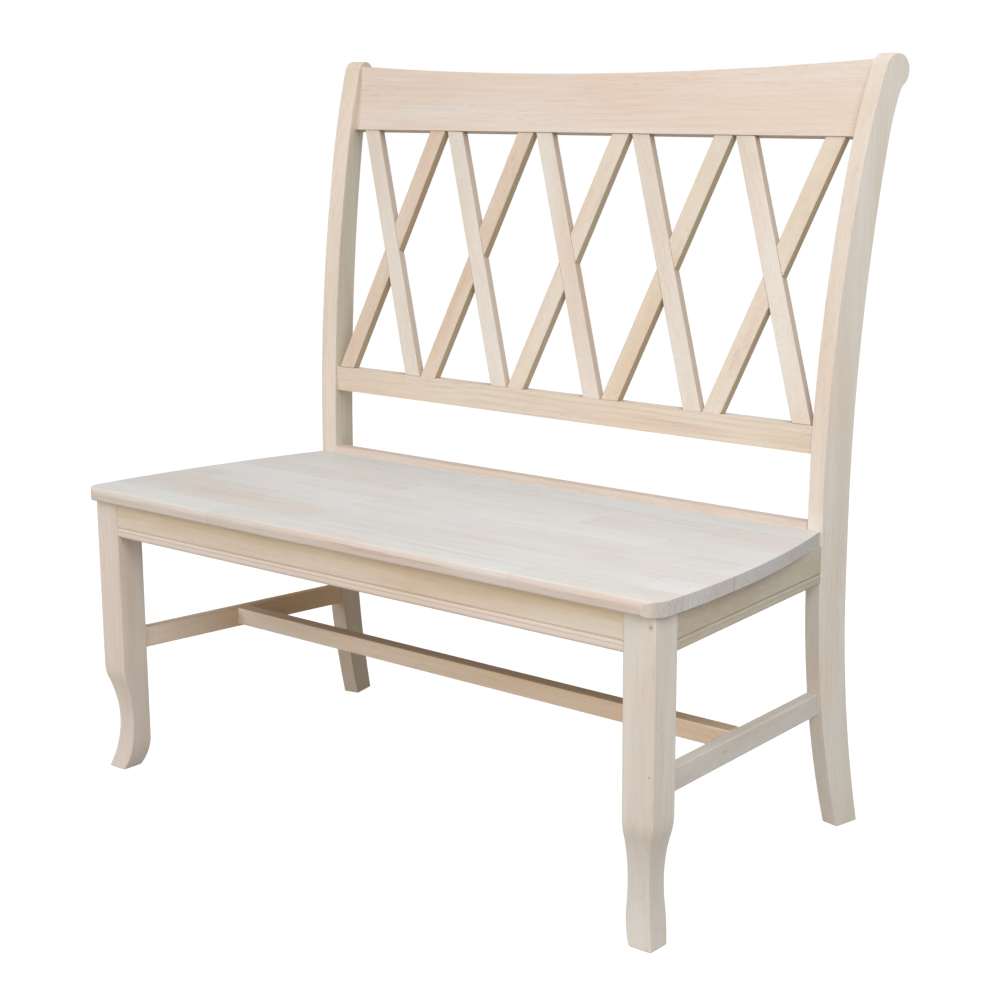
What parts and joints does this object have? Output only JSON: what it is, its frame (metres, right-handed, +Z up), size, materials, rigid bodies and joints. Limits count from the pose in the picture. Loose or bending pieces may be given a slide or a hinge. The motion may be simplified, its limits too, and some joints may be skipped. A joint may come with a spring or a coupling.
{
  "type": "bench",
  "caption": "Wooden bench with a flat seat, a high leaning back of crossed slats between two rails, scrolled rear posts and shaped front feet.",
  "frame": {"origin": "on the floor, midway across the width and midway through the depth of the whole bench", "axes": "+X to the right as seen by someone who looks at the bench's front, +Y from the front to the back, +Z up"},
  "size_m": [1.079, 0.6199, 1.102],
  "materials": {
    "leg_wood": "bare, sanded",
    "seat_wood": "bare, sanded",
    "crest_wood": "bare, sanded",
    "back_wood": "bare, sanded",
    "apron_wood": "bare, sanded",
    "rail_wood": "bare, sanded",
    "block_wood": "sawn",
    "screw_steel": "zinc plated"
  },
  "bodies": {
    "root": {"front_leg_left": "leg_wood", "front_leg_right": "leg_wood", "rear_post_left": "leg_wood", "rear_post_right": "leg_wood", "crest_rail": "crest_wood", "lower_back_rail": "back_wood", "front_apron": "apron_wood", "side_apron_left": "apron_wood", "side_apron_right": "apron_wood", "rear_apron": "rail_wood", "side_stretcher_left": "rail_wood", "side_stretcher_right": "rail_wood", "centre_stretcher": "rail_wood", "seat_board_1": "seat_wood", "seat_board_2": "seat_wood", "seat_board_3": "seat_wood", "seat_board_4": "seat_wood", "seat_board_5": "seat_wood", "seat_board_6": "seat_wood", "seat_board_7": "seat_wood", "seat_board_8": "seat_wood", "x1_slat_falling": "back_wood", "x1_slat_rising": "back_wood", "x2_slat_falling": "back_wood", "x2_slat_rising": "back_wood", "x3_slat_falling": "back_wood", "x3_slat_rising": "back_wood", "x4_slat_falling": "back_wood", "x4_slat_rising": "back_wood", "x5_slat_falling": "back_wood", "x5_slat_rising": "back_wood", "corner_block_front_left": "block_wood", "corner_block_front_right": "block_wood", "corner_block_rear_left": "block_wood", "corner_block_rear_right": "block_wood", "block_screws": "screw_steel", "seat_screws": "screw_steel"}
  },
  "joints": []
}
